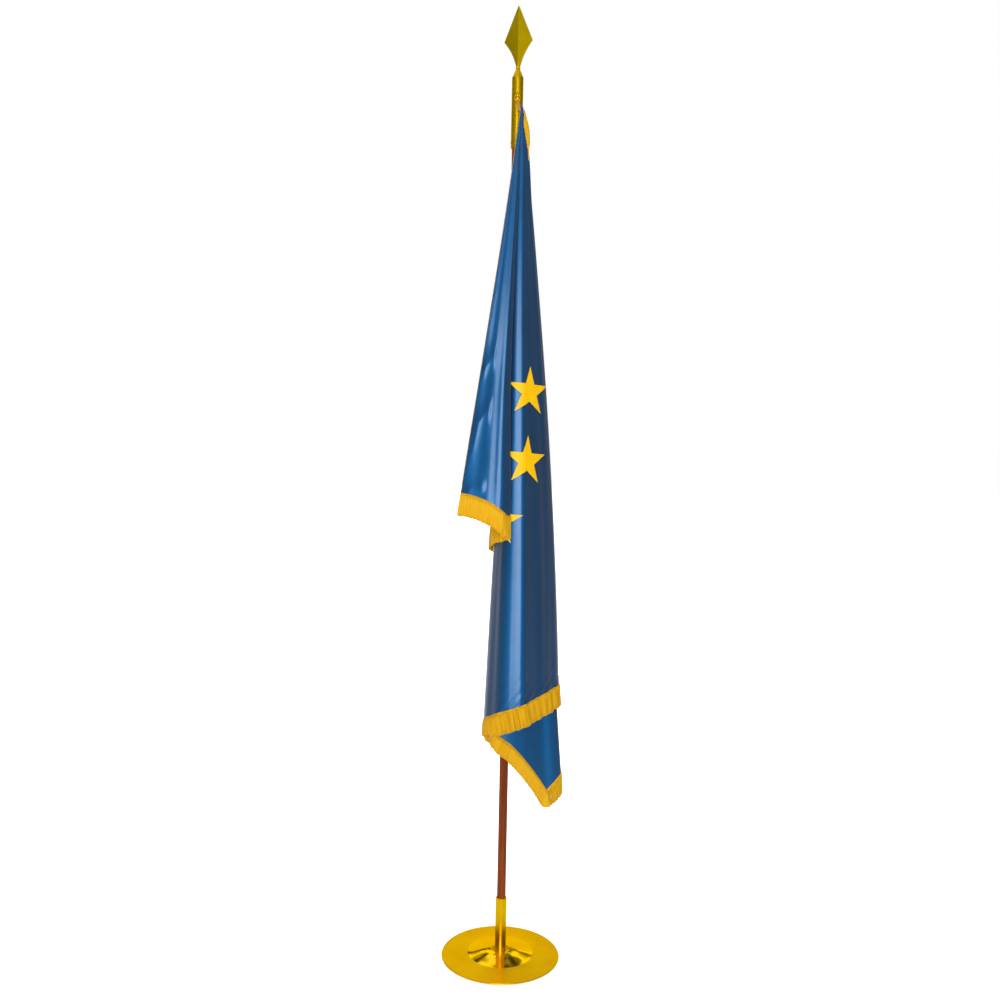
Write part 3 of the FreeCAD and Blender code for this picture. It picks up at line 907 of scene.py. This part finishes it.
def strand_mesh(name, edges, material):
    """All the strands of some edges as closed thin tubes in one mesh."""
    layers = [strand_lines(edge, layer) for edge in edges for layer in FRINGE_LAYERS[edge]]
    lines = np.concatenate(layers)
    count = len(lines)
    direction = np.gradient(lines, axis=1)
    direction /= np.linalg.norm(direction, axis=2, keepdims=True) + 1e-12
    helper = np.array([0.32, 0.95, 0.05])
    first = np.cross(direction, helper)
    first /= np.linalg.norm(first, axis=2, keepdims=True)
    second = np.cross(direction, first)
    thickness = STRAND_RADIUS * (1.0 + rng.normal(0.0, 0.06, count))
    taper = np.linspace(1.0, 0.9, STRAND_RINGS)
    turns = 2 * math.pi * np.arange(STRAND_SIDES) / STRAND_SIDES
    ring = (
        np.cos(turns)[None, None, :, None] * first[:, :, None, :]
        + np.sin(turns)[None, None, :, None] * second[:, :, None, :]
    )
    radius = thickness[:, None] * taper[None, :]
    points = lines[:, :, None, :] + ring * radius[:, :, None, None]
    per_strand = STRAND_RINGS * STRAND_SIDES
    sides = grid_faces(STRAND_RINGS, STRAND_SIDES, wrap=True)
    bottom = tuple(range(per_strand - STRAND_SIDES, per_strand))
    top = tuple(reversed(range(STRAND_SIDES)))
    template = [*sides, bottom, top]
    faces = []
    for strand in range(count):
        first_vertex = strand * per_strand
        faces.extend(tuple(v + first_vertex for v in face) for face in template)
    strand_number = np.repeat(np.arange(count), per_strand)
    height = np.tile(np.repeat(np.linspace(0.0, 1.0, STRAND_RINGS), STRAND_SIDES), count)
    uvs = np.stack([strand_number.astype(float), height * 3.0], axis=1)
    return mesh_piece(name, points.reshape(-1, 3), faces, material, uvs=uvs)


def braid_mesh(name, edges, material):
    """Woven heading: a band along each edge on both faces of the cloth."""
    points = []
    uvs = []
    faces = []
    insets = (-0.0012, 0.0, BRAID_WIDTH * 0.5, BRAID_WIDTH * 0.9, BRAID_WIDTH)
    lifts = (0.0, 0.0011, 0.0014, 0.0011, 0.0003)
    for edge in edges:
        for face_side in FRINGE_LAYERS[edge]:
            rows = []
            for inset, lift in zip(insets, lifts):
                here, outward, normal = edge_frames(edge, 0.004, inset=max(inset, 0.0))
                over = max(-inset, 0.0)
                rows.append(here + outward * over + normal * (face_side * lift))
            count = len(rows[0])
            first_vertex = len(points)
            for row, inset in zip(rows, insets):
                points.extend(row)
                uvs.extend((0.004 * i, inset) for i in range(count))
            for a, b, c, d in grid_faces(len(rows), count):
                quad = (a, b, c, d) if face_side > 0 else (d, c, b, a)
                faces.append(tuple(v + first_vertex for v in quad))
    return mesh_piece(name, np.array(points), faces, material, uvs=np.array(uvs))


# ---- stars -------------------------------------------------------------------------------

# Centres of the applique stars on the flat flag, as (s, t), in a plain wave along the fly.
STAR_PLACES = [
    (0.200, 0.420),
    (0.363, 0.344),
    (0.528, 0.219),
    (0.680, 0.165),
    (0.839, 0.216),
    (0.959, 0.324),
    (1.080, 0.520),
    (1.200, 0.620),
]
STAR_TURN = math.radians(-4.0)


def star_outline(turn):
    """Distance from the centre to a five-pointed star's outline in a direction."""
    sector = math.pi / 5
    inner = STAR_RADIUS * math.sin(math.radians(18)) / math.sin(math.radians(54))
    place = (turn - math.pi / 2) % (2 * sector)
    place = min(place, 2 * sector - place)
    return STAR_RADIUS * inner * math.sin(sector) / (
        inner * math.sin(sector - place) + STAR_RADIUS * math.sin(place)
    )


def make_star(number, centre):
    """One star laid on both faces of the cloth at its place, true to size on the fabric."""
    along, reach = DRAPE.from_flat(np.array(centre[0]), np.array(centre[1]))
    spokes = 120
    rings = 32
    step = 0.0008
    stretch = DRAPE.point(along + step, reach) - DRAPE.point(along - step, reach)
    across = np.linalg.norm(stretch) / (2 * step)
    shares = np.linspace(0.0, 1.0, rings)
    turns = np.arange(spokes) * 2 * math.pi / spokes + math.pi / 2
    outline = np.array([star_outline(turn) for turn in turns])
    u = shares[:, None] * (STAR_NARROWING * outline * np.cos(turns + STAR_TURN))[None, :]
    v = shares[:, None] * (outline * np.sin(turns + STAR_TURN))[None, :]
    here, _, _, normal = DRAPE.frame_at(along + u / across, reach - v)
    faces = grid_faces(rings, spokes, wrap=True)
    points = []
    all_faces = []
    uvs = []
    for face_side in (-1.0, 1.0):
        first_vertex = len(points)
        points.extend((here + normal * (face_side * STAR_LIFT)).reshape(-1, 3))
        uvs.extend(np.stack([u, v], axis=-1).reshape(-1, 2))
        for quad in faces:
            ordered = quad if face_side > 0 else tuple(reversed(quad))
            all_faces.append(tuple(w + first_vertex for w in ordered))
    return mesh_piece(
        f"star_{number}", np.array(points), all_faces, MATERIALS["yellow_star"], uvs=np.array(uvs)
    )


# ---- hanging tab and screw thread --------------------------------------------------------

def make_tab():
    """Strap through the ring: a loop over the ring's wire and two tails sewn to the corner."""
    low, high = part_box("corner_tab")
    ring_low, ring_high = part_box("flag_ring")
    width = high[0] - low[0]
    middle_y = 0.5 * (ring_low[1] + ring_high[1])
    loop_height = high[2] - 0.0032
    radius = 0.0024
    tail_end = APEX[2] - 0.020
    profile = [(middle_y - radius, tail_end), (middle_y - radius, loop_height)]
    for step in range(1, 9):
        turn = math.pi * step / 9
        profile.append((middle_y - radius * math.cos(turn), loop_height + radius * math.sin(turn)))
    profile += [(middle_y + radius, loop_height), (middle_y + radius, tail_end)]
    across = np.linspace(-0.5, 0.5, 7)
    points = []
    for y, z in profile:
        lowered = np.clip((loop_height - z) / (loop_height - tail_end), 0.0, 1.0)
        slide = APEX[0] * lowered
        lean = (APEX[1] - middle_y) * lowered
        for share in across:
            points.append((share * width + slide, y + lean, z))
    tab = mesh_piece("strap", points, grid_faces(len(profile), len(across)), MATERIALS["webbing"])
    thicken(tab, 0.0010)
    return tab


def make_thread(name, low, high, radius, pitch, material):
    """Screw thread as a turned rod whose outline winds up it."""
    per_turn = 36
    core = radius * 0.84
    levels = int(round((high - low) / pitch * 10))
    heights = np.linspace(low, high, levels)
    turns = np.arange(per_turn) / per_turn
    points = []
    for z in heights:
        phase = (z / pitch - turns) % 1.0
        crest = 1.0 - np.abs(2.0 * phase - 1.0)
        fade = np.clip((z - low) / pitch, 0.0, 1.0)
        r = core + (radius - core) * crest * fade
        x = r * np.cos(2 * math.pi * turns)
        y = r * np.sin(2 * math.pi * turns)
        points.append(np.stack([x, y, np.full(per_turn, z)], axis=1))
    points = np.concatenate(points)
    faces = grid_faces(levels, per_turn, wrap=True)
    faces.append(tuple(reversed(range(per_turn))))
    faces.append(tuple(range(len(points) - per_turn, len(points))))
    return mesh_piece(name, points, faces, material)


# ---- floor, world and lights -------------------------------------------------------------

def make_floor():
    """Large pale floor that glows with painted light, weaker round the foot as painted shade, and throws
    no light on the object.
    """
    rings = (0.0, 1.0, 3.0, 8.0, 25.0)
    spokes = 48
    points = []
    for radius in rings:
        for spoke in range(spokes):
            turn = 2 * math.pi * spoke / spokes
            points.append((radius * math.cos(turn), radius * math.sin(turn), -0.0002))
    s = Surface("pale_floor", Specular_IOR_Level=0.15)
    where = s.place()
    tone = s.noise(where, 3.0, detail=2.0)
    s.feed(s.ramp(tone, (0.3, (0.88, 0.88, 0.88)), (0.7, (0.91, 0.91, 0.91))), "Base Color")
    centre = s.node("ShaderNodeVectorMath", operation="LENGTH")
    s.link(where, centre.inputs[0])
    # Painted light: the floor glows white, faintly near the foot and fully from a metre out, so the foot
    # sits in painted shade.
    s.shader.inputs["Emission Color"].default_value = (1.0, 1.0, 1.0, 1.0)
    painted_floor_light = s.ramp(centre.outputs["Value"], (0.10, (0.30, 0.30, 0.30)), (1.0, (1.0, 1.0, 1.0)))
    s.feed(painted_floor_light, "Emission Strength")
    s.feed(s.spread(tone, 0.75, 0.85), "Roughness")
    floor = mesh_piece("floor", points, grid_faces(len(rings), spokes, wrap=True), s.material)
    floor.visible_diffuse = False
    floor.visible_glossy = False


def make_world():
    """The room that the object mirrors: dim walls, bright behind, a patchy ceiling, a lit floor.

    The camera itself sees plain white.
    """
    world = bpy.data.worlds.new("studio")
    scene.world = world
    world.use_nodes = True
    tree = world.node_tree
    background = tree.nodes["Background"]
    where = tree.nodes.new("ShaderNodeTexCoord")
    split = tree.nodes.new("ShaderNodeSeparateXYZ")
    tree.links.new(where.outputs["Generated"], split.inputs["Vector"])

    def ramp(factor, stops, low=0.0):
        """Grey ramp through (position, grey) stops; low is the factor's least value."""
        made = tree.nodes.new("ShaderNodeValToRGB")
        if low != 0.0:
            shift = tree.nodes.new("ShaderNodeMapRange")
            shift.inputs["From Min"].default_value = low
            tree.links.new(factor, shift.inputs["Value"])
            factor = shift.outputs["Result"]
        elements = made.color_ramp.elements
        while len(elements) < len(stops):
            elements.new(0.5)
        for element, (position, grey) in zip(elements, stops):
            element.position = position
            element.color = (grey, grey, grey, 1.0)
        tree.links.new(factor, made.inputs["Fac"])
        return made.outputs["Color"]

    def mix(first, second, factor):
        """From first to second, either a colour or a plain grey, by a factor."""
        made = tree.nodes.new("ShaderNodeMix")
        made.data_type = "RGBA"
        tree.links.new(factor, made.inputs["Factor"])
        for socket, value in ((made.inputs[6], first), (made.inputs[7], second)):
            if isinstance(value, float):
                socket.default_value = (value, value, value, 1.0)
            else:
                tree.links.new(value, socket)
        return made.outputs[2]

    room = ramp(
        split.outputs["X"],
        [(0.0, 0.13), (0.20, 0.11), (0.36, 0.07), (0.64, 0.07), (0.80, 0.06), (1.0, 0.07)],
        low=-1.0,
    )
    behind = ramp(split.outputs["Y"], [(0.50, 0.0), (0.80, 1.0)])
    walls = mix(room, 0.95, factor=behind)
    patches = tree.nodes.new("ShaderNodeTexNoise")
    patches.inputs["Scale"].default_value = 8.0
    patches.inputs["Detail"].default_value = 1.5
    tree.links.new(where.outputs["Generated"], patches.inputs["Vector"])
    ceiling = ramp(patches.outputs["Fac"], [(0.40, 0.06), (0.50, 0.45), (0.58, 1.30)])
    overhead = ramp(split.outputs["Z"], [(0.42, 0.0), (0.45, 1.0)])
    upper = mix(walls, ceiling, factor=overhead)
    underfoot = ramp(split.outputs["Z"], [(0.285, 1.0), (0.315, 0.0)], low=-1.0)
    studio = mix(upper, 1.35, factor=underfoot)
    seen = tree.nodes.new("ShaderNodeLightPath")
    shown = mix(studio, 1.0, factor=seen.outputs["Is Camera Ray"])
    tree.links.new(shown, background.inputs["Color"])
    background.inputs["Strength"].default_value = 1.0


def add_light(name, place, target, width, height, power, mirrored=True):
    """Soft panel light; one that isn't mirrored leaves no highlight."""
    data = bpy.data.lights.new(name, "AREA")
    data.shape = "RECTANGLE"
    data.size = width
    data.size_y = height
    data.energy = power
    light = bpy.data.objects.new(name, data)
    light.location = place
    light.visible_camera = False
    light.visible_glossy = mirrored
    towards = Vector(target) - Vector(place)
    light.rotation_mode = "QUATERNION"
    light.rotation_quaternion = towards.to_track_quat("-Z", "Y")
    scene.collection.objects.link(light)


def make_lights():
    """A tall key panel in front, a low fill and a broad top light."""
    add_light("key", (0.06, -3.2, 1.34), (0.0, 0.0, 1.30), 1.4, 2.7, 58.0)
    add_light("fill", (-0.6, -3.1, 0.9), (0.0, 0.0, 0.7), 2.0, 1.6, 46.0, mirrored=False)
    add_light("top", (0.3, 0.6, 4.2), (0.0, 0.0, 0.0), 2.4, 2.4, 90.0, mirrored=False)


# ---- build -------------------------------------------------------------------------------

def dress_flag():
    """The soft flag, riding on the upper pole in place of its CAD stand-ins."""
    cloth = make_cloth()
    hanging = strand_mesh("fringe_strands_bottom", ["hoist_corner", "bottom"], MATERIALS["gold_fringe"])
    flying = strand_mesh("fringe_strands_fly", ["fly_corner", "fly"], MATERIALS["gold_fringe"])
    edging = strand_mesh("fringe_strands_sides", ["hoist", "top"], MATERIALS["gold_fringe"])
    braid = braid_mesh("fringe_heading", ["hoist", "top", "bottom", "fly"], MATERIALS["gold_braid"])
    star_pieces = [make_star(number, centre) for number, centre in enumerate(STAR_PLACES, 1)]
    tab = make_tab()

    trim = [hanging, flying, edging, braid, *star_pieces]
    for piece in [cloth, tab, *trim]:
        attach(piece, "pole_upper")
    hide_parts("flag_cloth")
    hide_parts("fringe_bottom")
    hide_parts("fringe_fly", "fringe_corner")
    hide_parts("stars")
    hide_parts("corner_tab")


def thread_finial():
    """The finial's stud with its thread, in place of the plain CAD rod."""
    low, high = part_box("finial_stud")
    radius = 0.5 * (high[0] - low[0])
    thread = make_thread("finial_thread", low[2], high[2], radius, FINIAL_PITCH, MATERIALS["zinc_steel"])
    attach(thread, "finial")
    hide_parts("finial_stud")


add_camera()
make_floor()
make_world()
make_lights()
paint_cad_nodes()
dress_flag()
thread_finial()
scene.view_settings.view_transform = "Standard"
